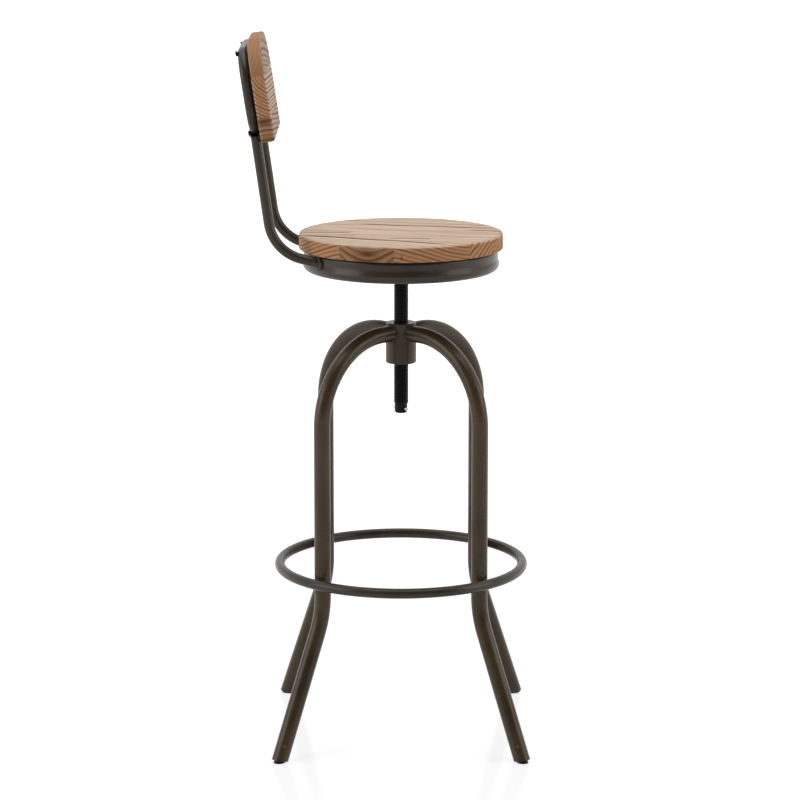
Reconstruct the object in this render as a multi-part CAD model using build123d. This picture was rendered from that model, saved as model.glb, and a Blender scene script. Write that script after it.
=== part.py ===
from build123d import *

import math
import os

# Bar stool whose seat turns and rises on a screw. Sizes are in millimetres.
# +X is the stool's front, +Z is up, and the origin is on the floor under the middle of the whole stool.
# Every piece is drawn round the screw's axis, and moved forward to its place as it is written.

# Place
axis_x = 24.0  # screw's axis, forward of the origin

# Fits
weld_gap = 0.05  # between pieces that are welded or clamped face to face
hole_clearance = 0.1  # round a fastener's shank, on the radius
plug_clearance = 0.1  # round a foot plug's stem, on the radius
thread_clearance = 0.3  # between the screw's thread and the nut's, square to their faces
bumper_clearance = 0.5  # between the bumper ring and the screw, on the radius
bumper_gap = 0.3  # between the bumper ring and the plate above it

# Legs
leg_tube_d = 24.0
leg_wall = 1.5
leg_run_r = 161.8  # upright run's centre, from the screw's axis
leg_arch_z = 606.4  # level inner run's centre
leg_arch_bend_r = 121.0
leg_splay_z = 207.0  # height of the corner at which the leg turns outwards
leg_splay_bend_r = 140.0
leg_floor_r = 251.0  # where the centre line would meet the floor
leg_end_lift = 3.4  # from that point up the centre line to the tube's cut end
leg_end_tilt = 12.0  # degrees, of the cut end from level

# Foot plugs and the rivets that hold them
plug_stem_l = 30.0
plug_pad_d = 16.0
foot_pin_d = 2.0
foot_pin_l = 7.0
foot_pin_head_d = 3.6
foot_pin_head_h = 0.8
foot_pin_lift = 20.9  # from the tube's cut end up the centre line
foot_pin_turn = 45.0  # degrees round the tube, from the side that faces away from the screw

# Hub nut
hub_d = 45.0
hub_h = 60.0
hub_rim_h = 2.6  # top face above the legs
hub_chamfer = 1.0
hub_mouth_h = 1.5  # plain bore at each end of the thread

# Footrest ring
ring_tube_d = 14.8
ring_wall = 1.2
ring_z = 255.5

# Wooden seat
seat_d = 300.0
seat_t = 22.5
seat_top_z = 755.0
seat_top_round = 3.0
seat_bottom_round = 0.8

# Seat pan
pan_depth = 32.5
pan_sheet = 1.5
pan_wall_inset = 7.6  # from the seat's edge
pan_bulge_inset = 5.6  # from the seat's edge
pan_corner_r = 10.0
pan_neck_r = 14.0
pan_rim_r = 5.0  # where the wall turns in under the wood
pan_lip_w = 14.0  # from the wall's outside to the lip's inner edge

# Screw
screw_d = 22.0
screw_pitch = 3.0
screw_thread_depth = 1.5
screw_crest_w = 0.8
screw_root_w = 0.8
screw_tail_l = 76.0  # lower end below the hub, with the seat at its drawn height
screw_plain_end_l = 13.0
screw_thread_stop = 2.0  # plain neck between the thread and the flange
screw_chamfer = 2.0

# Stop pin
stop_pin_d = 5.0
stop_pin_wall = 1.0
stop_pin_slot = 1.2
stop_pin_l = 25.0
stop_pin_lift = 6.5  # above the screw's lower end
stop_pin_turn = -44.0  # degrees from the front, seen from above

# Flange, its fasteners and the bumper ring under it
flange_d = 96.0
flange_t = 5.0
flange_bolt_circle_d = 70.0
flange_bolt_count = 4
bolt_d = 8.0
bolt_head_af = 13.0
bolt_head_h = 5.3
bolt_tail = 2.0  # past the nut
nut_h = 6.5
bumper_d = 40.0
bumper_h = 8.0

# Screws that hold the wooden seat
seat_screw_d = 4.8
seat_screw_bite = 15.0  # into the wood
seat_screw_head_d = 10.0
seat_screw_head_h = 3.5
seat_screw_inset = 40.0  # from the seat's edge
seat_screw_count = 4

# Back bars
bar_tube_d = 15.0
bar_wall = 1.2
bar_inset = 20.0  # from the loop's side, centre to centre
bar_bend_r = 62.0
bar_lean = 8.0  # degrees, of the upright run
bar_slope = 14.5  # degrees, of the run that goes to the pan
bar_root_inset = 18.1  # a point of that run's centre line, from the seat's edge at the bar
bar_root_lift = 18.8  # above the pan's underside
bar_end_drop = 4.6  # upper end below the lower rail's centre, clear of the backrest screws

# Back loop
loop_tube_d = 15.0
loop_wall = 1.2
loop_inset = 12.0  # from the backrest's side to the loop's side's centre
loop_h = 115.3  # between the rails' centres
loop_bend_r = 40.0
loop_lean = 8.6  # degrees
loop_setback = 80.8  # lower rail's centre behind the seat's edge at the bars
loop_rise = 155.5  # lower rail's centre above the seat's top

# Backrest
panel_w = 220.0
panel_h = 146.3
panel_t = 20.5
panel_drop = 14.4  # lower edge below the lower rail's centre
panel_top_corner_r = 60.0
panel_bottom_corner_r = 12.0
panel_edge_round = 4.0
panel_screw_d = 5.0
panel_screw_bite = 13.0
panel_screw_head_d = 8.0
panel_screw_head_h = 2.6
panel_screw_inset = 22.0  # from the loop's side's centre

# Levels and radii that follow from the sizes above
leg_r = leg_tube_d / 2
hub_top_z = leg_arch_z + leg_r + hub_rim_h
hub_bottom_z = hub_top_z - hub_h
ring_r = leg_run_r + leg_r + ring_tube_d / 2 + weld_gap
seat_r = seat_d / 2
seat_bottom_z = seat_top_z - seat_t
pan_wall_r = seat_r - pan_wall_inset
pan_bulge_r = seat_r - pan_bulge_inset
pan_top_z = seat_bottom_z - weld_gap
seat_screw_circle_r = seat_r - seat_screw_inset
pan_bottom_z = seat_bottom_z - pan_depth
flange_top_z = pan_bottom_z - weld_gap
flange_bottom_z = flange_top_z - flange_t
bumper_top_z = flange_bottom_z - bumper_gap
screw_top_z = flange_top_z
screw_bottom_z = hub_bottom_z - screw_tail_l
screw_r = screw_d / 2
screw_core_r = screw_r - screw_thread_depth
loop_rail_z = seat_top_z + loop_rise
loop_r = loop_tube_d / 2
loop_w = panel_w - 2 * loop_inset
bar_spacing = loop_w - 2 * bar_inset
bar_edge_x = -math.sqrt(seat_r**2 - (bar_spacing / 2) ** 2)
bar_root_x = bar_edge_x + bar_root_inset
loop_x = bar_edge_x - loop_setback
panel_screw_spacing = loop_w - 2 * panel_screw_inset


os.makedirs("parts", exist_ok=True)


def export(shape, name):
    """Writes one node's solid, or group of solids."""
    export_step(Pos(axis_x, 0, 0) * shape, f"parts/{name}.step")


def bent_tube(path, outer_d, wall):
    """A hollow tube along a path."""
    start = Plane(path @ 0, z_dir=path % 0)
    outer = sweep(start * Circle(outer_d / 2), path=path)
    bore = sweep(start * Circle(outer_d / 2 - wall), path=path)
    return outer - bore


def solid_rod(path, d):
    """The full round bar that a tube along a path would fill."""
    return sweep(Plane(path @ 0, z_dir=path % 0) * Circle(d / 2), path=path)


def around(shape, count, first_angle=0.0):
    """Copies of a shape, evenly spaced round the screw's axis."""
    return [Rot(0, 0, first_angle + 360 / count * i) * shape for i in range(count)]


def round_bar(d, low_z, high_z):
    """An upright round bar on the Z axis between two levels."""
    return Pos(0, 0, low_z) * extrude(Circle(d / 2), high_z - low_z)


def hexagon(across_flats, low_z, high_z):
    """An upright hexagonal bar on the Z axis between two levels."""
    outline = RegularPolygon(across_flats / 2, 6, major_radius=False)
    return Pos(0, 0, low_z) * extrude(outline, high_z - low_z)


def threaded_wall(base_r, tip_r, base_w, tip_w, turns, low_z, start_z, high_z):
    """Faces of a round wall with a helical ridge on it, and its two end circles.

    Each turn is four strips between helices: the wall, a flank, the ridge's tip and a flank.
    The plain wall past each end of the ridge is two half faces.
    """
    flank_w = (screw_pitch - base_w - tip_w) / 2
    corners = (
        (base_r, 0.0),
        (base_r, base_w),
        (tip_r, base_w + flank_w),
        (tip_r, screw_pitch - flank_w),
        (base_r, screw_pitch),
    )
    helices = [
        Edge.make_helix(screw_pitch, screw_pitch, r, center=(0, 0, start_z + z)).edge() for r, z in corners
    ]
    strips = [Face.make_surface_from_curves(a, b) for a, b in zip(helices, helices[1:])]
    faces = [Pos(0, 0, screw_pitch * turn) * strip for turn in range(turns) for strip in strips]
    half_helix = Edge.make_helix(screw_pitch, screw_pitch / 2, base_r, center=(0, 0, start_z))
    ends = []
    for level, lift in ((low_z, 0.0), (high_z, screw_pitch * turns)):
        arcs = [Edge.make_circle(base_r, Plane.XY.offset(level), a, a + 180) for a in (0, 180)]
        for half, arc in enumerate(arcs):
            edge = Pos(0, 0, lift + half * screw_pitch / 2) * Rot(0, 0, 180 * half) * half_helix
            faces.append(Face.make_surface_from_curves(arc, edge.edge()))
        ends.append(Wire(arcs))
    ridge = Face(Wire.make_polygon([(r, 0, start_z + z) for r, z in corners[1:]], close=True))
    faces.append(ridge)
    faces.append(Pos(0, 0, screw_pitch * turns) * ridge)
    return faces, ends


# Legs, with their centre lines drawn in the XZ plane and turned to the four corners
splay = math.atan2(leg_floor_r - leg_run_r, leg_splay_z)
leg_axis = Vector(math.sin(splay), 0, -math.cos(splay))
leg_floor = Vector(leg_floor_r, 0, 0)
leg_end = leg_floor - leg_axis * leg_end_lift
leg_path = FilletPolyline(
    (0, 0, leg_arch_z),
    (leg_run_r, 0, leg_arch_z),
    (leg_run_r, 0, leg_splay_z),
    leg_floor + leg_axis * leg_tube_d,
    radius=[leg_arch_bend_r, leg_splay_bend_r],
)
end_tilt = math.radians(leg_end_tilt)
below_end = Plane(leg_end, z_dir=(-math.sin(end_tilt), 0, math.cos(end_tilt))) * Box(
    3 * leg_tube_d, 3 * leg_tube_d, 3 * leg_tube_d, align=(Align.CENTER, Align.CENTER, Align.MAX)
)
hub_outline = round_bar(hub_d + 2 * weld_gap, hub_bottom_z - leg_tube_d, hub_top_z + leg_tube_d)
plain_leg = bent_tube(leg_path, leg_tube_d, leg_wall) - hub_outline - below_end

# Foot plugs: a stem in the tube, cut off with it, and a pad that is cut level with the floor
plug_d = leg_tube_d - 2 * leg_wall - 2 * plug_clearance
foot_plane = Plane(leg_end, z_dir=-leg_axis)
stem = foot_plane * Pos(0, 0, -leg_r) * extrude(Circle(plug_d / 2), leg_r + plug_stem_l) - below_end
pad = foot_plane * extrude(Circle(plug_pad_d / 2), leg_tube_d, both=True)
below_floor = Pos(leg_floor_r, 0, 0) * Box(
    3 * leg_tube_d, 3 * leg_tube_d, 3 * leg_tube_d, align=(Align.CENTER, Align.CENTER, Align.MAX)
)
plain_foot = stem + pad - below_floor

# Rivets: one through each leg's wall into its plug
foot_pins = []
for leg_name, azimuth, side in (
    ("front_left", 45, 1),
    ("rear_left", 135, -1),
    ("rear_right", 225, 1),
    ("front_right", 315, -1),
):
    outward = Vector(1, 0, 0).rotate(Axis.Z, side * foot_pin_turn)
    outward = (outward - leg_axis * outward.dot(leg_axis)).normalized()
    pin_plane = Plane(leg_end - leg_axis * foot_pin_lift + outward * leg_r, z_dir=outward)
    shank = pin_plane * Pos(0, 0, -foot_pin_l) * extrude(Circle(foot_pin_d / 2), foot_pin_l)
    head = pin_plane * extrude(Circle(foot_pin_head_d / 2), foot_pin_head_h)
    head = fillet(head.edges().sort_by(Axis(pin_plane.origin, outward))[-1], foot_pin_head_h * 0.7)
    hole_depth = foot_pin_l + hole_clearance
    hole = pin_plane * Pos(0, 0, -hole_depth) * extrude(
        Circle(foot_pin_d / 2 + hole_clearance), hole_depth + foot_pin_head_h
    )
    turn = Rot(0, 0, azimuth)
    foot_pins.append(turn * (shank + head))
    export(turn * (plain_leg - hole), f"leg_{leg_name}")
    export(turn * (plain_foot - hole), f"foot_{leg_name}")
export(Compound(foot_pins), "foot_pins")

# Footrest ring
ring_path = Edge.make_circle(ring_r, Plane.XY.offset(ring_z))
export(bent_tube(ring_path, ring_tube_d, ring_wall), "footrest_ring")

# Screw: the thread's ridge winds round a core that goes on plain at both ends
thread_low_z = screw_bottom_z + screw_plain_end_l
thread_high_z = flange_bottom_z - screw_thread_stop
screw_turns = math.floor((thread_high_z - thread_low_z) / screw_pitch) - 1
screw_faces, screw_ends = threaded_wall(
    screw_core_r, screw_r, screw_root_w, screw_crest_w, screw_turns, screw_bottom_z, thread_low_z, screw_top_z
)
screw_faces += [Face(end) for end in screw_ends]
spindle = Solid(Shell(screw_faces))
spindle_end = spindle.edges().filter_by(GeomType.CIRCLE).group_by(Axis.Z)[0]
spindle = chamfer(spindle_end, screw_chamfer)
pin_axis = Pos(0, 0, screw_bottom_z + stop_pin_lift) * Rot(0, 0, stop_pin_turn) * Rot(0, 90, 0)
pin_hole = pin_axis * extrude(Circle(stop_pin_d / 2 + hole_clearance), screw_d, both=True)
export(spindle - pin_hole, "threaded_spindle")

# Stop pin: a rolled spring pin with a slot along it
pin_section = Circle(stop_pin_d / 2) - Circle(stop_pin_d / 2 - stop_pin_wall)
pin_section -= Pos(0, stop_pin_d / 2) * Rectangle(stop_pin_slot, stop_pin_d)
export(pin_axis * extrude(pin_section, stop_pin_l / 2, both=True), "stop_pin")

# Hub nut: its inner ridge lies midway in the screw's groove, the clearance away on every side
flank_angle = math.atan2((screw_pitch - screw_root_w - screw_crest_w) / 2, screw_thread_depth)
flank_shift = thread_clearance * (1 - math.sin(flank_angle)) / math.cos(flank_angle)
nut_base_w = screw_crest_w + 2 * flank_shift
nut_tip_w = screw_root_w - 2 * flank_shift
nut_wall_r = screw_r + thread_clearance
nut_tip_r = screw_core_r + thread_clearance
in_step_z = thread_low_z + screw_root_w / 2 - (screw_pitch + nut_base_w) / 2
steps_up = math.ceil((hub_bottom_z + hub_mouth_h - in_step_z) / screw_pitch)
nut_start_z = in_step_z + screw_pitch * steps_up
nut_turns = math.floor((hub_top_z - hub_mouth_h - nut_start_z) / screw_pitch) - 1
hub_faces, hub_mouths = threaded_wall(
    nut_wall_r, nut_tip_r, nut_base_w, nut_tip_w, nut_turns, hub_bottom_z, nut_start_z, hub_top_z
)
hub_blank = round_bar(hub_d, hub_bottom_z, hub_top_z)
hub_faces += hub_blank.faces().filter_by(GeomType.CYLINDER)
for end_face, mouth in zip(hub_blank.faces().filter_by(GeomType.PLANE).sort_by(Axis.Z), hub_mouths):
    hub_faces.append(Face(end_face.outer_wire(), [mouth]))
hub = Solid(Shell(hub_faces))
hub_rims = hub.edges().filter_by(lambda e: e.geom_type == GeomType.CIRCLE and e.radius > nut_wall_r + hub_chamfer)
export(chamfer(hub_rims, hub_chamfer), "hub_nut")

# Bumper ring
bumper = round_bar(bumper_d, bumper_top_z - bumper_h, bumper_top_z)
bumper -= round_bar(screw_d + 2 * bumper_clearance, bumper_top_z - bumper_h, bumper_top_z)
export(bumper, "bumper_ring")

# Flange, with its bolts from below and its nuts inside the pan
bolt_place = Pos(flange_bolt_circle_d / 2, 0, 0)
nut_low_z = pan_bottom_z + pan_sheet + weld_gap
nut_high_z = nut_low_z + nut_h
bolt_head_top_z = flange_bottom_z - weld_gap
bolt = hexagon(bolt_head_af, bolt_head_top_z - bolt_head_h, bolt_head_top_z)
bolt += round_bar(bolt_d, bolt_head_top_z, nut_high_z + bolt_tail)
bolt_hole = round_bar(bolt_d + 2 * hole_clearance, flange_bottom_z - flange_t, nut_high_z + flange_t)
nut = hexagon(bolt_head_af, nut_low_z, nut_high_z) - bolt_hole
bolt_holes = around(bolt_place * bolt_hole, flange_bolt_count)
flange = round_bar(flange_d, flange_bottom_z, flange_top_z)
flange -= round_bar(2 * (screw_core_r + weld_gap), flange_bottom_z, flange_top_z)
export(flange - bolt_holes, "spindle_flange")
export(Compound(around(bolt_place * bolt, flange_bolt_count)), "flange_bolts")
export(Compound(around(bolt_place * nut, flange_bolt_count)), "flange_nuts")


def pan_body(inset):
    """A full round body inside the pan's outside by an inset."""
    top_z = pan_top_z - inset
    corner_x = pan_bulge_r - pan_corner_r
    corner_z = pan_bottom_z + pan_corner_r
    corner_r = pan_corner_r - inset
    wall_x = pan_wall_r - inset
    neck_angle = math.degrees(math.acos((wall_x - corner_x) / corner_r))
    neck_z = corner_z + corner_r * math.sin(math.radians(neck_angle))
    outline = [
        Line((0, top_z), (0, pan_bottom_z + inset)),
        Line((0, pan_bottom_z + inset), (corner_x, pan_bottom_z + inset)),
        CenterArc((corner_x, corner_z), corner_r, -90, 90 + neck_angle),
        Line((wall_x, neck_z), (wall_x, top_z)),
        Line((wall_x, top_z), (0, top_z)),
    ]
    section = make_face(outline)
    neck = section.vertices().sort_by_distance((wall_x, neck_z))[0]
    section = fillet(neck, pan_neck_r + inset)
    rim = section.vertices().sort_by_distance((wall_x, top_z))[0]
    return revolve(Plane.XZ * fillet(rim, pan_rim_r - inset), Axis.Z)


# Screws that hold the wooden seat, through the pan's floor
seat_screw_top_z = seat_bottom_z + seat_screw_bite
seat_screw_head_z = pan_bottom_z - weld_gap
seat_screw = round_bar(seat_screw_d, seat_screw_head_z, seat_screw_top_z)
seat_screw += round_bar(seat_screw_head_d, seat_screw_head_z - seat_screw_head_h, seat_screw_head_z)
seat_screw_hole = round_bar(
    seat_screw_d + 2 * hole_clearance, seat_screw_head_z, seat_screw_top_z + hole_clearance
)
seat_screw_place = Pos(seat_screw_circle_r, 0, 0)
seat_screw_first = 180 / seat_screw_count
seat_screws = around(seat_screw_place * seat_screw, seat_screw_count, seat_screw_first)
seat_screw_holes = around(seat_screw_place * seat_screw_hole, seat_screw_count, seat_screw_first)
export(Compound(seat_screws), "seat_screws")

# Seat pan: sheet metal, with a lip turned in under the wood
pan_mouth = round_bar(2 * (pan_wall_r - pan_lip_w), seat_bottom_z - pan_rim_r, seat_top_z)
export(pan_body(0) - pan_body(pan_sheet) - pan_mouth - bolt_holes - seat_screw_holes, "seat_pan")

# Wooden seat
seat = round_bar(2 * seat_r, seat_bottom_z, seat_top_z)
seat = fillet(seat.edges().group_by(Axis.Z)[-1], seat_top_round)
seat = fillet(seat.edges().group_by(Axis.Z)[0], seat_bottom_round)
export(seat - seat_screw_holes, "wood_seat")

# Back loop, in a plane that leans back; its local Y runs up the lean and its normal faces forwards
lean = math.radians(loop_lean)
loop_plane = Plane(
    (loop_x, 0, loop_rail_z), x_dir=(0, 1, 0), z_dir=(math.cos(lean), 0, math.sin(lean))
)
loop_outline = Pos(0, loop_h / 2) * RectangleRounded(loop_w, loop_h, loop_bend_r)
loop_path = (loop_plane * loop_outline).face().outer_wire()
loop_tube = bent_tube(loop_path, loop_tube_d, loop_wall)

# Backrest screws: from behind, through the loop's rails into the wood
panel_screw_holes = []
panel_screws = []
panel_back = loop_r + weld_gap
for side in (-1, 1):
    for rail in (0, loop_h):
        screw_plane = loop_plane * Pos(side * panel_screw_spacing / 2, rail, 0)
        head_top = -loop_r - weld_gap
        shank_l = panel_back + panel_screw_bite - head_top
        shank = screw_plane * Pos(0, 0, head_top) * extrude(Circle(panel_screw_d / 2), shank_l)
        head = Pos(0, 0, head_top - panel_screw_head_h) * extrude(
            Circle(panel_screw_head_d / 2), panel_screw_head_h
        )
        head = fillet(head.edges().group_by(Axis.Z)[0], panel_screw_head_h * 0.6)
        panel_screws.append(shank + screw_plane * head)
        panel_screw_holes.append(
            screw_plane
            * Pos(0, 0, head_top - loop_r)
            * extrude(Circle(panel_screw_d / 2 + hole_clearance), shank_l + loop_r + hole_clearance)
        )
export(Compound(panel_screws), "backrest_screws")
export(loop_tube - panel_screw_holes, "back_loop")

# Backrest: a board with large upper corners, rounded all round
panel_outline = Rectangle(panel_w, panel_h, align=(Align.CENTER, Align.MIN))
panel_corners = panel_outline.vertices().group_by(Axis.Y)
panel_outline = fillet(panel_corners[-1], panel_top_corner_r)
panel_outline = fillet(panel_outline.vertices().group_by(Axis.Y)[0], panel_bottom_corner_r)
panel = extrude(panel_outline, panel_t)
panel = fillet(panel.edges().group_by(Axis.Z)[-1] + panel.edges().group_by(Axis.Z)[0], panel_edge_round)
panel = loop_plane * Pos(0, -panel_drop, panel_back) * panel
export(panel - panel_screw_holes, "backrest_panel")

# Back bars: cut to the loop's lower rail above and to the pan's side below
bar_lean_way = Vector(math.sin(math.radians(bar_lean)), 0, -math.cos(math.radians(bar_lean)))
bar_slope_way = Vector(math.cos(math.radians(bar_slope)), 0, -math.sin(math.radians(bar_slope)))
bar_top = Vector(loop_x, 0, loop_rail_z) + bar_lean_way * bar_end_drop
bar_root = Vector(bar_root_x, 0, pan_bottom_z + bar_root_lift)
span = bar_root - bar_top
turn_y = bar_lean_way.X * bar_slope_way.Z - bar_lean_way.Z * bar_slope_way.X
bar_corner = bar_top + bar_lean_way * ((span.X * bar_slope_way.Z - span.Z * bar_slope_way.X) / turn_y)
bar_path = FilletPolyline(bar_top, bar_corner, bar_root, radius=bar_bend_r)
plain_bar = bent_tube(bar_path, bar_tube_d, bar_wall)
rail_outline = solid_rod(loop_path, loop_tube_d + 2 * weld_gap)
pan_outline = pan_body(-weld_gap)
for bar_name, side in (("left", 1), ("right", -1)):
    bar = Pos(0, side * bar_spacing / 2, 0) * plain_bar - rail_outline - pan_outline
    export(bar.solids().sort_by(SortBy.VOLUME)[-1], f"back_bar_{bar_name}")
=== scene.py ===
import math

import bmesh
import bpy
import numpy as np
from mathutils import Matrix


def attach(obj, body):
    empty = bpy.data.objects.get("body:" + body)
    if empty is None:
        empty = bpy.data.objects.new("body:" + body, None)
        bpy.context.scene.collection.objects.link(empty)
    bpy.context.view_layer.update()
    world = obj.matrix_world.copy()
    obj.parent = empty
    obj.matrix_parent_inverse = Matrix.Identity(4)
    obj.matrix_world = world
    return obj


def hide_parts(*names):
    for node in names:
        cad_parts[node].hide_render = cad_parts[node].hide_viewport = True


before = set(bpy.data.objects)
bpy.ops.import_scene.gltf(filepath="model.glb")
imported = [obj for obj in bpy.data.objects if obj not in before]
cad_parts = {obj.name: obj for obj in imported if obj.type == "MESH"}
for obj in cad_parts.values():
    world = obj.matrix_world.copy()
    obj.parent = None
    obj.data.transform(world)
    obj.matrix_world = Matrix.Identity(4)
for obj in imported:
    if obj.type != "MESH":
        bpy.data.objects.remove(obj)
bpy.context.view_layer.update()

# The corners, the screw's axis and the unit that several sections use
CORNERS = ("front_left", "rear_left", "rear_right", "front_right")
AXIS_X = 0.024
MM_PER_M = 1000


# Legs and hub nut
# Four bent steel tubes, welded at their level inner ends to a round threaded nut. The welded base
# is powder-coated in one go, in a dark bronze with fine metal flake that gives a soft satin sheen.

def linear(hex_colour):
    """An sRGB hex colour as linear red, green and blue with full alpha."""
    srgb = np.array([int(hex_colour[i:i + 2], 16) for i in (1, 3, 5)]) / 255
    values = np.where(srgb <= 0.04045, srgb / 12.92, ((srgb + 0.055) / 1.055) ** 2.4)
    return (*values.tolist(), 1.0)


def add(material, kind, settings={}, links={}):
    """Adds a shader node: settings name its properties, sockets or ramp stops, and links name its sockets."""
    node = material.node_tree.nodes.new(kind)
    for name, value in settings.items():
        if name == "stops":
            while len(node.color_ramp.elements) < len(value):
                node.color_ramp.elements.new(0.5)
            for element, (position, colour) in zip(node.color_ramp.elements, value):
                element.position = position
                element.color = colour
        elif isinstance(name, int) or name in node.inputs:
            node.inputs[name].default_value = value
        else:
            setattr(node, name, value)
    for name, source in links.items():
        material.node_tree.links.new(source, node.inputs[name])
    return node


def new_finish(name, **sockets):
    """A material with only a Principled shader, and that shader."""
    material = bpy.data.materials.new(name)
    material.use_nodes = True
    shader = material.node_tree.nodes["Principled BSDF"]
    for socket, value in sockets.items():
        shader.inputs[socket.replace("_", " ")].default_value = value
    return material, shader


def per_metre(size_mm):
    """How many features of a size go into a metre, which is a noise's scale on Object coordinates."""
    return MM_PER_M / size_mm


def noise(material, place, size_mm, detail=2.0):
    """Noise with features of a size, at Object coordinates."""
    settings = {"Scale": per_metre(size_mm), "Detail": detail}
    return add(material, "ShaderNodeTexNoise", settings, {"Vector": place}).outputs[0]


def ramp(material, stops, share):
    """A colour between hex stops, picked by a share."""
    colours = [(position, linear(tone)) for position, tone in stops]
    return add(material, "ShaderNodeValToRGB", {"stops": colours}, {0: share}).outputs[0]


def between(material, low, high, share):
    """A value from low to high, picked by a share."""
    return add(material, "ShaderNodeMapRange", {"To Min": low, "To Max": high}, {"Value": share}).outputs[0]


def bumped(material, strength, height_mm, height):
    """A normal tilted by a height from 0 to 1, whose full size is in millimetres."""
    settings = {"Strength": strength, "Distance": height_mm / MM_PER_M}
    return add(material, "ShaderNodeBump", settings, {"Height": height}).outputs[0]


def wire(material, shader, sources):
    """Links values to a shader's sockets."""
    for socket, source in sources.items():
        material.node_tree.links.new(source, shader.inputs[socket])


def powder_coat(name, dark, light, flake_mm=1.6, flake_share=0.45, cloud_mm=60, peel_mm=2.4):
    """Powder coat with fine metal flake: colour varies in clouds and specks, and the skin has orange peel."""
    material, shader = new_finish(
        name, Metallic=0.2, Specular_IOR_Level=0.2, Coat_Weight=0.35, Coat_Roughness=0.22, Coat_IOR=1.45
    )
    place = add(material, "ShaderNodeTexCoord").outputs["Object"]
    clouds = noise(material, place, cloud_mm, detail=3.0)
    flakes = noise(material, place, flake_mm)
    peel = noise(material, place, peel_mm, detail=1.0)
    blend = add(
        material, "ShaderNodeMath", {"operation": "MULTIPLY_ADD", 1: flake_share}, {0: flakes, 2: clouds}
    )
    wire(material, shader, {
        "Base Color": ramp(material, ((0.5, dark), (0.95, light)), blend.outputs[0]),
        "Roughness": between(material, 0.34, 0.5, clouds),
        "Normal": bumped(material, 0.12, 0.3, peel),
    })
    return material


def paint(node_name, material):
    """Gives a carried-over CAD node its finish."""
    for material_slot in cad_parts[node_name].material_slots:
        material_slot.material = material


BRONZE = powder_coat("dark_bronze_powder_coat", "#382A19", "#4E3E29")
for corner in CORNERS:
    paint(f"leg_{corner}", BRONZE)
paint("hub_nut", BRONZE)


# Welds between the legs and the hub nut
# A rippled bead runs round each tube where its coped end meets the nut. The bead is laid before the
# powder coat, so it has the legs' finish.

def new_piece(name, points, faces, material, body, slot):
    """A mesh object that rides on a CAD body; its points are in metres from the screw's axis at the floor."""
    mesh = bpy.data.meshes.new(name)
    mesh.from_pydata((points + (AXIS_X, 0.0, 0.0)).tolist(), [], faces.tolist())
    mesh.polygons.foreach_set("use_smooth", np.ones(len(mesh.polygons), bool))
    mesh.materials.append(material)
    piece = bpy.data.objects.new(name, mesh)
    bpy.context.scene.collection.objects.link(piece)
    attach(piece, body)
    return piece


def grid_faces(rows, columns, close_rows=False, close_columns=False):
    """Quads between neighbouring points of a grid, numbered row by row."""
    row = np.arange(rows if close_rows else rows - 1)[:, None]
    column = np.arange(columns if close_columns else columns - 1)[None, :]
    below = (row + 1) % rows
    right = (column + 1) % columns
    quads = (row * columns + column, row * columns + right, below * columns + right, below * columns + column)
    return np.stack(np.broadcast_arrays(*quads), axis=-1).reshape(-1, 4)


def bead(path, thickness, ripples, swell=0.14, sides=10):
    """A tube round a closed path; its radius swells and shrinks with a sine, once for each ripple.

    The tube's section lies across the path: at each point it is spanned by the direction away from the
    path's middle, made square to the path, and by the direction square to both.
    """
    along = np.roll(path, -1, axis=0) - np.roll(path, 1, axis=0)
    along /= np.linalg.norm(along, axis=1, keepdims=True)
    outward = path - path.mean(axis=0)
    outward -= along * np.sum(outward * along, axis=1, keepdims=True)
    outward /= np.linalg.norm(outward, axis=1, keepdims=True)
    across = np.cross(along, outward)
    turn = np.arange(len(path)) / len(path) * 2 * np.pi
    radius = thickness / 2 * (1 + swell * np.sin(ripples * turn))
    angle = np.arange(sides) / sides * 2 * np.pi
    ring = outward[:, None] * np.cos(angle)[None, :, None] + across[:, None] * np.sin(angle)[None, :, None]
    points = path[:, None] + ring * radius[:, None, None]
    return points.reshape(-1, 3), grid_faces(len(path), sides, True, True)


def seam(start, way, rod_r, drum_point, drum_way, drum_r, steps=96):
    """The closed line in which a round rod, run out along its way, meets the near side of a round drum.

    Each of the rod's straight lines goes on until it is the drum's radius away from the drum's axis, which
    is the smaller root of a square equation.
    """
    way = np.array(way) / np.linalg.norm(way)
    drum_way = np.array(drum_way) / np.linalg.norm(drum_way)
    side = np.cross(way, (0.0, 1.0, 0.0) if abs(way[1]) < 0.9 else (1.0, 0.0, 0.0))
    side /= np.linalg.norm(side)
    angle = np.arange(steps) / steps * 2 * np.pi
    lines = np.array(start) + rod_r * (
        np.cos(angle)[:, None] * side + np.sin(angle)[:, None] * np.cross(way, side)
    )
    from_axis = lines - np.array(drum_point)
    from_axis -= (from_axis @ drum_way)[:, None] * drum_way
    square_way = way - (way @ drum_way) * drum_way
    a = square_way @ square_way
    b = from_axis @ square_way
    c = np.sum(from_axis ** 2, axis=1) - drum_r ** 2
    reach = (-b - np.sqrt(b ** 2 - a * c)) / a
    return lines + reach[:, None] * way


def join(parts):
    """Several meshes' points and faces as one."""
    shifts = np.cumsum([0] + [len(points) for points, _ in parts[:-1]])
    return np.concatenate([points for points, _ in parts]), np.concatenate(
        [faces + shift for (_, faces), shift in zip(parts, shifts)]
    )


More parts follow.
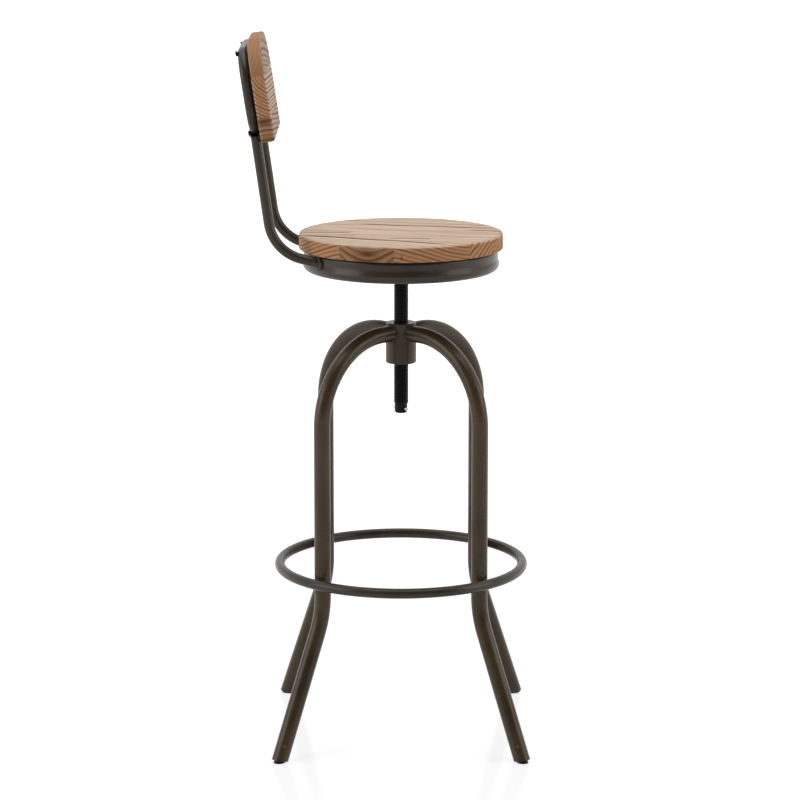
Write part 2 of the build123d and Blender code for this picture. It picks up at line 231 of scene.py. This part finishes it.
LEG_R = 0.012
LEG_ARCH_Z = 0.6064
LEG_AZIMUTHS = np.radians((45, 135, 225, 315))
HUB_R = 0.0225
HUB_BEAD = {"thickness": 0.0036, "ripples": 22}
UPRIGHT = np.array((0.0, 0.0, 1.0))
hub_beads = []
for azimuth in LEG_AZIMUTHS:
    inward = np.array((-np.cos(azimuth), -np.sin(azimuth), 0.0))
    start = -inward * 3 * HUB_R + UPRIGHT * LEG_ARCH_Z
    hub_beads.append(bead(seam(start, inward, LEG_R, (0, 0, 0), UPRIGHT, HUB_R), **HUB_BEAD))
new_piece("hub_welds", *join(hub_beads), BRONZE, "base", "leg_paint")


# Foot plugs and their rivets
# Moulded black plastic plugs pressed into the tube ends, each held by one small rivet whose pale dull steel
# colour paints the highlight on its small head.
# Moulding leaves a fine even grain and a low sheen; the floor scuffs the pads a little paler.

def plastic(name, dark, light, grain_mm=0.9, scuff_mm=7):
    """Moulded plastic: a fine grain in the bump, and paler scuffs in the colour."""
    material, shader = new_finish(name, Roughness=0.55, IOR=1.46, Specular_IOR_Level=0.3)
    place = add(material, "ShaderNodeTexCoord").outputs["Object"]
    scuffs = noise(material, place, scuff_mm, detail=4.0)
    wire(material, shader, {
        "Base Color": ramp(material, ((0.45, dark), (0.75, light)), scuffs),
        "Normal": bumped(material, 0.25, 0.2, noise(material, place, grain_mm)),
    })
    return material


def plated_steel(name, dull, bright, rough, metallic=1.0, specular=0.5, blotch_mm=5):
    """Plated or blackened steel: blotches in the colour and in the roughness."""
    material, shader = new_finish(name, Metallic=metallic, Specular_IOR_Level=specular)
    place = add(material, "ShaderNodeTexCoord").outputs["Object"]
    blotches = noise(material, place, blotch_mm, detail=4.0)
    wire(material, shader, {
        "Base Color": ramp(material, ((0.35, dull), (0.7, bright)), blotches),
        "Roughness": between(material, rough - 0.08, rough + 0.1, blotches),
    })
    return material


FOOT_PLASTIC = plastic("moulded_black_plastic", "#101010", "#2A2927")
for corner in CORNERS:
    paint(f"foot_{corner}", FOOT_PLASTIC)
ZINC = plated_steel("bright_zinc_plate", "#C9CACB", "#F0F0EE", 0.3)
# The rivets' pale grey is a painted highlight on their small heads
RIVET_STEEL_AND_HIGHLIGHT = plated_steel("rivet_steel_and_painted_highlight", "#554D43", "#857C70", 0.45)
paint("foot_pins", RIVET_STEEL_AND_HIGHLIGHT)


# Footrest ring and its welds
# A steel tube bent to a full ring and welded to the outside of the legs by four rippled beads. Its
# powder coat is a greyer bronze than the legs'.

GREY_BRONZE = powder_coat("grey_bronze_powder_coat", "#30281F", "#463C30")
paint("footrest_ring", GREY_BRONZE)
RING_Z = 0.2555
RING_CONTACT_R = 0.1738
RING_WELD_R = 0.0052
RING_BEAD = {"thickness": 0.0034, "ripples": 13}
ring_beads = []
turn = np.linspace(0, 2 * np.pi, 48, endpoint=False)
for azimuth in LEG_AZIMUTHS:
    out = np.array((np.cos(azimuth), np.sin(azimuth), 0.0))
    level = np.array((-np.sin(azimuth), np.cos(azimuth), 0.0))
    weld = RING_WELD_R * (np.cos(turn)[:, None] * level + np.sin(turn)[:, None] * UPRIGHT)
    ring_beads.append(bead(weld + out * RING_CONTACT_R + UPRIGHT * RING_Z, **RING_BEAD))
new_piece("ring_welds", *join(ring_beads), GREY_BRONZE, "base", "frame_paint")


# Bumper ring
# A short sleeve of black rubber round the screw, which meets the nut when the seat is right down.

RUBBER = plastic("black_rubber", "#0D0D0D", "#1D1C1B", grain_mm=1.4, scuff_mm=9)
paint("bumper_ring", RUBBER)


# Screw, stop pin, flange and its bolts
# The screw is blackened and oiled steel. A rolled pin of bright zinc crosses its lower end, and a
# painted plate at its top is bolted to the pan with zinc-plated bolts.

BLACK_STEEL = plated_steel(
    "blackened_oiled_steel", "#060606", "#0F0E0E", 0.42, metallic=0.0, specular=0.16
)
paint("threaded_spindle", BLACK_STEEL)
paint("stop_pin", ZINC)
paint("spindle_flange", GREY_BRONZE)
for node_name in ("flange_bolts", "flange_nuts"):
    paint(node_name, ZINC)


# Seat pan
# A dish pressed from steel sheet, with a swelling at its lower corner, powder-coated like the ring.

paint("seat_pan", GREY_BRONZE)


# Wooden seat
# Staves of strongly grained softwood, glued side by side and turned to a disc. The faces are
# wire-brushed, which wears the pale early wood and leaves dark lines along the grain, then oiled;
# the cut edge drinks more oil, so it is darker and more orange. The faces' tones are also paler by
# a painted sheen, and a painted highlight runs beside each dark streak on them.

# Sines that make the rings wander: size, mm per radian along and across, shift from stave to stave
RING_WAVES = ((0.5, 61, math.inf, 1), (0.3, 23, 31, 2), (0.25, 90, 6.5, 1), (0.12, 9, 4, 0))
WANDER_RINGS = 1 / 6
EARLY_SHARE = 0.35
DARKENING_SHARE = 0.45
DARKENING_POWER = 1.3
LATE_END_SHARE = 0.1
RING_UNEVENNESS = 0.25
RING_SHIFT = 2.4
BRUSH_GROOVE = 0.3


def late_wood(along, across, depth, stave_edges, logs):
    """Share of dark late wood, from 0 to 1, and the stave's number, at points in millimetres.

    Staves lie side by side across the grain, each from a log of its own: its rings are circles round a
    pith that drifts along the grain, a sum of sines makes them wander a little, and in each ring the wood
    darkens slowly and then ends sharply. Some rings are darker than others.
    """
    number = np.searchsorted(stave_edges, across)
    pith_across, pith_depth, ring_mm, tilt, phase, strength = np.array(logs)[number].T
    wander = np.zeros(len(along))
    for size, wave_along, wave_across, shift in RING_WAVES:
        wander += size * np.sin(along / wave_along + across / wave_across + shift * number)
    radius = np.hypot(across - pith_across - tilt * along, depth - pith_depth)
    rings = radius / ring_mm + wander * WANDER_RINGS + phase
    part = rings % 1
    rise = np.clip((part - EARLY_SHARE) / DARKENING_SHARE, 0, 1) ** DARKENING_POWER
    fall = np.clip((1 - part) / LATE_END_SHARE, 0, 1)
    uneven = 1 - RING_UNEVENNESS + RING_UNEVENNESS * np.sin(np.floor(rings) * RING_SHIFT + number)
    return rise * fall * uneven * strength, number


def border_normal(face, core):
    """Zero inside a face, and the outline's normal on its border."""
    border = np.zeros(face.shape[:2], bool)
    border[[0, -1]] = True
    border[:, [0, -1]] = True
    away = face - core(face)
    away /= np.maximum(np.linalg.norm(away, axis=-1, keepdims=True), 1e-9)
    return np.where(border[..., None], away, 0.0)


def with_depth(flat, depth):
    """A grid of points in a plane as a list of points in space, with one depth or one for each column."""
    depths = np.broadcast_to(depth, flat.shape[:2])
    return np.concatenate((flat, depths[..., None]), axis=-1).reshape(-1, 3)


def slab(rows, half, thick, front_round, rear_round, core, columns, wall_steps, stave_edges, logs):
    """A board's surface in (along, across, depth) millimetres, with its late wood and edge shares.

    Its two faces are grids of straight rows along the grain: a point is the row's half length times a
    value from -1 to 1. Its rim is the faces' outline moved outwards along its normal by a quarter round,
    down a straight wall and back by another quarter round. The normal points away from the nearest point
    of the outline's core, where its corner arcs have their middles. Brushing sinks the early wood: each
    point moves in along its normal by the groove's depth times one minus its late wood.
    """
    spread = np.linspace(-1, 1, columns)
    face = np.stack((half[:, None] * spread, np.broadcast_to(rows[:, None], (len(rows), columns))), axis=-1)
    ends = [face[:, -1], face[::-1, 0]]
    if half[0] > 0:
        ends = [face[0, :-1], face[:, -1], face[-1, -2:0:-1], face[::-1, 0]]
    outline = np.concatenate(ends)
    normal = outline - core(outline)
    normal /= np.linalg.norm(normal, axis=1, keepdims=True)
    quarter = np.radians(np.linspace(90, 0, 7))
    back = quarter[::-1]
    wall = np.linspace(thick - front_round, rear_round, wall_steps)[1:-1]
    angles = np.concatenate((quarter, np.zeros(len(wall)), -back))
    front_moves = front_round * np.cos(quarter)
    rear_moves = front_round - rear_round * (1 - np.cos(back))
    moves = np.concatenate((front_moves, np.full(len(wall), front_round), rear_moves))
    front_depths = thick - front_round * (1 - np.sin(quarter))
    rear_depths = rear_round * (1 - np.sin(back))
    depths = np.concatenate((front_depths, wall, rear_depths))
    rim = outline[:, None] + normal[:, None] * moves[None, :, None]
    rear = face + (front_round - rear_round) * border_normal(face, core)
    front_points = with_depth(face, thick)
    rear_points = with_depth(rear, 0.0)
    face_quads = grid_faces(*face.shape[:2])
    rim_quads = grid_faces(len(outline), len(angles), True)
    points, faces = join([
        (front_points, face_quads),
        (rear_points, face_quads[:, ::-1]),
        (with_depth(rim, depths), rim_quads[:, ::-1]),
    ])
    normals = np.concatenate((
        np.broadcast_to((0.0, 0.0, 1.0), front_points.shape),
        np.broadcast_to((0.0, 0.0, -1.0), rear_points.shape),
        with_depth(normal[:, None] * np.cos(angles)[None, :, None], np.sin(angles)),
    ))
    rim_edge = np.broadcast_to(np.clip(2 * np.cos(angles) - 1, 0, 1), rim.shape[:2])
    edge = np.concatenate((np.zeros(len(front_points) + len(rear_points)), rim_edge.ravel()))
    late, number = late_wood(*points.T, stave_edges, logs)
    return points - normals * (BRUSH_GROOVE * (1 - late))[:, None], faces, late, edge, number


TONE_SHARES = (0.0, 0.2, 0.5, 0.8, 1.0)
# Tones of the faces, paler in part by a painted sheen, and of the cut edge, darker and more orange from oil
FACE_AND_SHEEN_TONES = ("#F2DCC6", "#DEC6AE", "#B8957A", "#7E583E", "#5C3B27")
EDGE_TONES = ("#DEAC80", "#CF9B70", "#A87550", "#7E4E2D", "#5C351D")
HEART_TONE = "#7A4323"
FIBRE_LENGTH = 26
FIBRE_WIDTH = 1.3


def brushed_wood(name, grain_turn):
    """Brushed and oiled softwood: late wood darkens the colour, and fibres run along the grain.

    Reads the mesh's own shares of late wood, cut edge, heartwood and stave tint. Fibres are noise stretched
    along the grain, drawn three times as coarse as real ones so that they show.
    """
    material, shader = new_finish(name, IOR=1.5, Specular_IOR_Level=0.25)
    late, edge, heart, tint = [
        add(material, "ShaderNodeAttribute", {"attribute_name": share}).outputs["Fac"]
        for share in ("late_wood", "cut_edge", "heart_wood", "stave_tint")
    ]
    # The faces' colour holds a painted sheen besides the wood's own tone
    face_and_sheen_colour = ramp(material, zip(TONE_SHARES, FACE_AND_SHEEN_TONES), late)
    edge_colour = ramp(material, zip(TONE_SHARES, EDGE_TONES), late)
    both = add(material, "ShaderNodeMix", {"data_type": "RGBA"}, {0: edge, 6: face_and_sheen_colour, 7: edge_colour})
    hearted = add(
        material, "ShaderNodeMix", {"data_type": "RGBA", 7: linear(HEART_TONE)},
        {0: heart, 6: both.outputs[2]},
    )
    place = add(material, "ShaderNodeTexCoord").outputs["Object"]
    turned = add(material, "ShaderNodeMapping", {"Rotation": grain_turn}, {"Vector": place})
    across_scale = per_metre(FIBRE_WIDTH)
    stretched = add(
        material, "ShaderNodeMapping", {"Scale": (per_metre(FIBRE_LENGTH), across_scale, across_scale)},
        {"Vector": turned.outputs[0]},
    )
    fibres = add(
        material, "ShaderNodeTexNoise", {"Scale": 1.0, "Detail": 4.0, "Roughness": 0.62},
        {"Vector": stretched.outputs[0]},
    ).outputs[0]
    shade = between(material, 0.8, 1.2, fibres)
    strength = add(material, "ShaderNodeMath", {"operation": "MULTIPLY"}, {0: shade, 1: tint})
    colour = add(
        material, "ShaderNodeVectorMath", {"operation": "SCALE"},
        {0: hearted.outputs[2], "Scale": strength.outputs[0]},
    )
    wire(material, shader, {
        "Base Color": colour.outputs[0],
        "Roughness": between(material, 0.52, 0.74, fibres),
        "Normal": bumped(material, 0.35, 0.4, fibres),
    })
    return material


STREAK_SWING = 1.6
STREAK_WAVE = 16
STREAK_FADES = 10
PAINTED_HIGHLIGHT_STRENGTH = 0.35
PAINTED_HIGHLIGHT_OFFSET = 2.2
MERGE_DISTANCE = 1e-6
SHORTEST_EDGE = 1e-7


def streaked(points, streaks):
    """Dark resin streaks on a face, less a painted highlight beside each, at points in millimetres.

    A streak runs from one point to another and wanders by a sine. It is a bell curve across, with another,
    weaker and taken away, next to it, which is the painted highlight, and it fades out over the last tenth of
    its length.
    """
    total = np.zeros(len(points))
    for start, end, half_width, strength in streaks:
        reach = (points[:, 0] - start[0]) / (end[0] - start[0])
        swing = STREAK_SWING * np.sin(points[:, 0] / STREAK_WAVE)
        away = (points[:, 1] - start[1] - reach * (end[1] - start[1]) - swing) / half_width
        fade = np.clip(np.minimum(reach, 1 - reach) * STREAK_FADES, 0, 1)
        dark = np.exp(-away ** 2)
        # A painted highlight beside each dark streak, where the brushed ridge would catch the light
        painted_highlight = PAINTED_HIGHLIGHT_STRENGTH * np.exp(-(away + PAINTED_HIGHLIGHT_OFFSET) ** 2)
        total += strength * fade * (dark - painted_highlight)
    return total


def wooden_piece(
    name, node_name, slab_parts, origin, axes, material, tints, hearts, streaks, face_share, slot
):
    """Puts a slab in its place as a piece that stands for a CAD node, with its shares as attributes.

    Heartwood is a sum of soft spots, each a bell curve of the distance from its middle in its half sizes.
    The faces show only a share of the late wood, and streaks besides, each with a painted highlight beside
    it.
    """
    points, faces, late, edge, number = slab_parts
    heart = np.zeros(len(points))
    for middle, half_sizes, strength in hearts:
        away = (points - np.array(middle)) / np.array(half_sizes)
        heart += strength * np.exp(-np.sum(away ** 2, axis=1))
    shown = face_share + (1 - face_share) * edge
    late = TONE_SHARES[1] + late * shown + streaked(points, streaks) * (1 - edge)
    placed = np.array(origin) + points / MM_PER_M @ np.array(axes)
    piece = new_piece(name, placed, faces, material, "seat", slot)
    shares = {"late_wood": late, "cut_edge": edge, "heart_wood": heart, "stave_tint": tints[number]}
    for attribute, values in shares.items():
        layer = piece.data.attributes.new(attribute, "FLOAT", "POINT")
        layer.data.foreach_set("value", values.astype(np.float32))
    shell = bmesh.new()
    shell.from_mesh(piece.data)
    bmesh.ops.remove_doubles(shell, verts=shell.verts, dist=MERGE_DISTANCE)
    bmesh.ops.dissolve_degenerate(shell, edges=shell.edges, dist=SHORTEST_EDGE)
    shell.to_mesh(piece.data)
    shell.free()
    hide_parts(node_name)


SEAT_R = 150.0
SEAT_T = 22.5
SEAT_TOP_ROUND = 3.0
SEAT_BOTTOM_ROUND = 0.8
SEAT_BOTTOM_Z = 0.7325
SEAT_GRAIN_TURN = 0.347
SEAT_STAVES = (-144.2, -72, -15, 55, 118)
# For each stave: pith across and in depth and ring width (mm), drift along the grain, phase, strength
SEAT_LOGS = (
    (-95, -11, 4.0, 0.0, 0.6, 0.6),
    (-62, 115, 5.2, 0.0, 0.85, 0.6),
    (0, -75, 7.0, 0.18, 0.9, 0.6),
    (20, -75, 7.0, 0.1, 0.91, 0.5),
    (132, -75, 7.0, 0.11, 0.9, 0.6),
    (140, -70, 5.0, 0.1, 0.2, 0.18),
)
SEAT_TINTS = np.array((0.72, 1.0, 1.02, 1.0, 1.0, 0.92))
# For each spot of heartwood: middle and half sizes (mm), strength
SEAT_HEARTS = (((3, -150, 11.5), (15, 4, 4.5), 1.0), ((52, -141, 7), (1.2, 4, 2.6), 1.4))
# For each streak: start and end along and across, half width (mm), strength
SEAT_STREAKS = (
    ((-92, 54), (120, 82), 3.8, 0.85),
    ((86, 53), (136, 55), 3.4, 0.75),
    ((-140, -48), (-66, -31), 3.6, 0.7),
    ((-127, -79), (102, -85), 4.0, 0.85),
    ((4, -63), (64, -46), 3.0, 0.6),
    ((-78, -61), (-52, -53), 2.4, 0.4),
    ((-118, 84), (-98, 87), 3.0, 0.55),
    ((-96, 107), (-66, 113), 3.0, 0.4),
    ((-63, 103), (-41, 108), 2.6, 0.3),
    ((68, 106), (95, 101), 2.6, 0.3),
)
SEAT_FACE_SHARE = 0.55
row_angle = np.linspace(-np.pi / 2, np.pi / 2, 421)
flat_r = SEAT_R - SEAT_TOP_ROUND
row_half = flat_r * np.cos(row_angle)
row_half[[0, -1]] = 0.0
seat_parts = slab(
    flat_r * np.sin(row_angle), row_half, SEAT_T, SEAT_TOP_ROUND, SEAT_BOTTOM_ROUND, np.zeros_like,
    columns=73, wall_steps=22, stave_edges=SEAT_STAVES, logs=SEAT_LOGS,
)
SEAT_WOOD = brushed_wood("brushed_oiled_softwood_seat", (0.0, 0.0, SEAT_GRAIN_TURN))
grain_x = math.cos(SEAT_GRAIN_TURN)
grain_y = math.sin(SEAT_GRAIN_TURN)
wooden_piece(
    "wood_seat_brushed", "wood_seat", seat_parts, (0.0, 0.0, SEAT_BOTTOM_Z),
    ((grain_x, -grain_y, 0), (grain_y, grain_x, 0), (0, 0, 1)), SEAT_WOOD,
    SEAT_TINTS, SEAT_HEARTS, SEAT_STREAKS, SEAT_FACE_SHARE, "seat_wood",
)


# Seat screws
# Long black screws through the pan's floor into the seat.

paint("seat_screws", BLACK_STEEL)


# Back bars, back loop and their welds
# Two bent tubes run from the pan's side up to a closed loop of the same tube. Rippled beads join the
# bars to the pan and to the loop's lower rail, all under the same grey bronze powder coat.

for node_name in ("back_bar_left", "back_bar_right", "back_loop"):
    paint(node_name, GREY_BRONZE)
BAR_R = 0.0075
BAR_Y = 0.078
BAR_SLOPE = math.radians(14.5)
BAR_LEAN = math.radians(8.0)
BAR_ROOT = (-0.11, 0.7188)
BAR_ROOT_RUN = 0.09
BAR_TOP_R = 0.93 * BAR_R
BAR_TOP_RUN = 0.03
LOOP_RAIL = (-0.2089, 0.9105)
PAN_WALL_R = 0.1432
PAN_BEAD = {"thickness": 0.0064, "ripples": 11}
LOOP_BEAD = {"thickness": 0.0044, "ripples": 9}
slope_way = np.array((math.cos(BAR_SLOPE), 0.0, -math.sin(BAR_SLOPE)))
lean_way = np.array((-math.sin(BAR_LEAN), 0.0, math.cos(BAR_LEAN)))
bar_beads = []
for side in (-1, 1):
    root = np.array((BAR_ROOT[0], side * BAR_Y, BAR_ROOT[1])) - slope_way * BAR_ROOT_RUN
    bar_beads.append(bead(seam(root, slope_way, BAR_R, (0, 0, 0), UPRIGHT, PAN_WALL_R), **PAN_BEAD))
    rail = np.array((LOOP_RAIL[0], side * BAR_Y, LOOP_RAIL[1]))
    top = rail - lean_way * BAR_TOP_RUN
    bar_beads.append(bead(seam(top, lean_way, BAR_TOP_R, rail, (0, 1, 0), BAR_R), **LOOP_BEAD))
new_piece("back_welds", *join(bar_beads), GREY_BRONZE, "seat", "frame_paint")


# Backrest
# Three staves of the same softwood, glued edge to edge and cut to a board with large upper corners.
# Its grain runs from side to side, so its ends show the rings.

PANEL_HALF_W = 110.0
PANEL_H = 146.3
PANEL_T = 20.5
PANEL_ROUND = 4.0
PANEL_TOP_CORNER = 60.0
PANEL_BOTTOM_CORNER = 12.0
PANEL_DROP = 14.4
PANEL_GAP = 0.00005
LOOP_LEAN = math.radians(8.6)
PANEL_STAVES = (37, 96)
# The same values as the seat's logs have
PANEL_LOGS = (
    (-67, 10, 6.7, -0.088, 0.4, 0.6),
    (108, 47.7, 4.6, -0.058, 0.75, 0.62),
    (153, -120, 2.2, -0.12, 0.4, 0.5),
)
PANEL_TINTS = np.array((0.8, 1.02, 0.72))
PANEL_HEARTS = (((-110, 31, 9), (9, 5, 14), 0.9),)
PANEL_FACE_SHARE = 1.5


def panel_core(points):
    """The nearest point between the middles of the outline's corner arcs."""
    upper = points[..., 1] > PANEL_H / 2
    corner = np.where(upper, PANEL_TOP_CORNER, PANEL_BOTTOM_CORNER)
    inner = PANEL_HALF_W - corner
    along = np.clip(points[..., 0], -inner, inner)
    across = np.clip(points[..., 1], PANEL_BOTTOM_CORNER, PANEL_H - PANEL_TOP_CORNER)
    return np.stack((along, across), axis=-1)


low_turn = np.linspace(-np.pi / 2, 0, 9)
high_turn = np.linspace(0, np.pi / 2, 61)
low_arc = PANEL_BOTTOM_CORNER - PANEL_ROUND
high_arc = PANEL_TOP_CORNER - PANEL_ROUND
straight = np.linspace(PANEL_BOTTOM_CORNER, PANEL_H - PANEL_TOP_CORNER, 102)[1:-1]
panel_rows = np.concatenate((
    PANEL_BOTTOM_CORNER + low_arc * np.sin(low_turn),
    straight,
    PANEL_H - PANEL_TOP_CORNER + high_arc * np.sin(high_turn),
))
panel_half = np.concatenate((
    PANEL_HALF_W - PANEL_BOTTOM_CORNER + low_arc * np.cos(low_turn),
    np.full(len(straight), PANEL_HALF_W - PANEL_ROUND),
    PANEL_HALF_W - PANEL_TOP_CORNER + high_arc * np.cos(high_turn),
))
panel_parts = slab(
    panel_rows, panel_half, PANEL_T, PANEL_ROUND, PANEL_ROUND, panel_core,
    columns=61, wall_steps=20, stave_edges=PANEL_STAVES, logs=PANEL_LOGS,
)
up_lean = np.array((-math.sin(LOOP_LEAN), 0.0, math.cos(LOOP_LEAN)))
forward = np.array((math.cos(LOOP_LEAN), 0.0, math.sin(LOOP_LEAN)))
panel_origin = np.array((LOOP_RAIL[0], 0.0, LOOP_RAIL[1]))
panel_origin = panel_origin + forward * (BAR_R + PANEL_GAP) - up_lean * PANEL_DROP / MM_PER_M
BACK_WOOD = brushed_wood("brushed_oiled_softwood_back", (0.0, 0.0, math.pi / 2))
wooden_piece(
    "backrest_panel_brushed", "backrest_panel", panel_parts, panel_origin,
    ((0, 1, 0), up_lean, forward), BACK_WOOD, PANEL_TINTS, PANEL_HEARTS, (), PANEL_FACE_SHARE, "back_wood",
)


# Backrest screws
# Black domed screws from behind, through the loop's rails into the wood.

paint("backrest_screws", BLACK_STEEL)


# Studio
# A white floor with soft light from above and from both sides, and the camera where the photograph's was.

scene = bpy.context.scene
scene.view_settings.view_transform = "Standard"

FLOOR_DROP = 0.0003
FLOOR_HALF = 30.0
floor_corners = ((-1, -1), (1, -1), (1, 1), (-1, 1))
floor_points = [(x * FLOOR_HALF, y * FLOOR_HALF, -FLOOR_DROP) for x, y in floor_corners]
floor_mesh = bpy.data.meshes.new("floor")
floor_mesh.from_pydata(floor_points, [], [(0, 1, 2, 3)])
floor = bpy.data.objects.new("floor", floor_mesh)
scene.collection.objects.link(floor)
floor_white, floor_shader = new_finish(
    "white_floor", Base_Color=linear("#9A9A9A"), Roughness=0.12, Specular_IOR_Level=0.06,
    Emission_Color=linear("#FFFFFF"),
)
floor_mesh.materials.append(floor_white)


def seen_rays(tree_owner):
    """One for rays from the camera, off shiny surfaces and through clear ones, and nought for the rest."""
    rays = add(tree_owner, "ShaderNodeLightPath")
    seen = add(
        tree_owner, "ShaderNodeMath", {"operation": "MAXIMUM"},
        {0: rays.outputs["Is Camera Ray"], 1: rays.outputs["Is Glossy Ray"]},
    )
    return add(
        tree_owner, "ShaderNodeMath", {"operation": "MAXIMUM"},
        {0: seen.outputs[0], 1: rays.outputs["Is Transmission Ray"]},
    ).outputs[0]


# The floor's glow grows with the distance from the stool, so that a faint shadow stays under it
floor_place = add(floor_white, "ShaderNodeTexCoord").outputs["Object"]
from_stool = add(floor_white, "ShaderNodeVectorMath", {"operation": "LENGTH"}, {0: floor_place})
glow = add(
    floor_white, "ShaderNodeMapRange", {"From Min": 0.5, "From Max": 2.2, "To Min": 0.74, "To Max": 1.0},
    {"Value": from_stool.outputs["Value"]},
)
glow = add(
    floor_white, "ShaderNodeMath", {"operation": "MULTIPLY"}, {0: glow.outputs[0], 1: seen_rays(floor_white)}
)
floor_white.node_tree.links.new(glow.outputs[0], floor_shader.inputs["Emission Strength"])

# The world is white to the camera, dim to diffuse rays, and dark in reflections from behind the camera
DIFFUSE_FILL = 0.3
DARK_SIDE_SHINE = 0.12
world = bpy.data.worlds.new("white_studio")
world.use_nodes = True
scene.world = world
sky = world.node_tree.nodes["Background"]
rays = add(world, "ShaderNodeLightPath")
way = add(world, "ShaderNodeTexCoord").outputs["Generated"]
way = add(world, "ShaderNodeSeparateXYZ", {}, {0: way})
shine = add(
    world, "ShaderNodeMapRange",
    {"From Min": -0.6, "From Max": 0.1, "To Min": DARK_SIDE_SHINE, "To Max": 1.0},
    {"Value": way.outputs["Y"]},
)
shine = add(
    world, "ShaderNodeMath", {"operation": "MULTIPLY"},
    {0: shine.outputs[0], 1: rays.outputs["Is Glossy Ray"]},
)
fill = add(
    world, "ShaderNodeMath", {"operation": "MULTIPLY_ADD", 1: DIFFUSE_FILL},
    {0: rays.outputs["Is Diffuse Ray"], 2: rays.outputs["Is Camera Ray"]},
)
level = add(world, "ShaderNodeMath", {"operation": "ADD"}, {0: shine.outputs[0], 1: fill.outputs[0]})
world.node_tree.links.new(level.outputs[0], sky.inputs["Strength"])
sky.inputs["Color"].default_value = linear("#FFFFFF")


def softbox(name, place, aim, size, power):
    """A square lamp at a place, turned to face a point."""
    lamp = bpy.data.lights.new(name, "AREA")
    lamp.size = size
    lamp.energy = power
    box = bpy.data.objects.new(name, lamp)
    scene.collection.objects.link(box)
    away = np.array(place) - np.array(aim)
    box.location = place
    box.rotation_euler = (
        math.atan2(math.hypot(away[0], away[1]), away[2]), 0.0, math.atan2(away[0], -away[1])
    )


softbox("overhead_softbox", place=(0.0, -0.3, 3.4), aim=(0.0, 0.0, 0.5), size=2.6, power=36.0)
softbox("left_softbox", place=(-2.7, -1.2, 1.5), aim=(0.0, 0.0, 0.6), size=1.8, power=30.0)
softbox("right_softbox", place=(2.8, -0.9, 1.6), aim=(0.0, 0.0, 0.6), size=1.8, power=24.0)

PHOTO_PIXELS = 800
FOCAL_PIXELS = 3179.8
AXIS_PIXEL = 401.0
CAMERA_AWAY = 4.6178
CAMERA_Z = 1.4492
CAMERA_DIP = 0.2020
camera_data = bpy.data.cameras.new("photo_camera")
camera_data.sensor_width = 36.0
camera_data.lens = FOCAL_PIXELS / PHOTO_PIXELS * camera_data.sensor_width
camera_data.shift_x = (PHOTO_PIXELS / 2 - AXIS_PIXEL) / PHOTO_PIXELS
camera_data.clip_end = 200.0
camera = bpy.data.objects.new("photo_camera", camera_data)
camera.location = (AXIS_X, -CAMERA_AWAY, CAMERA_Z)
camera.rotation_euler = (math.pi / 2 - CAMERA_DIP, 0.0, 0.0)
scene.collection.objects.link(camera)
scene.camera = camera
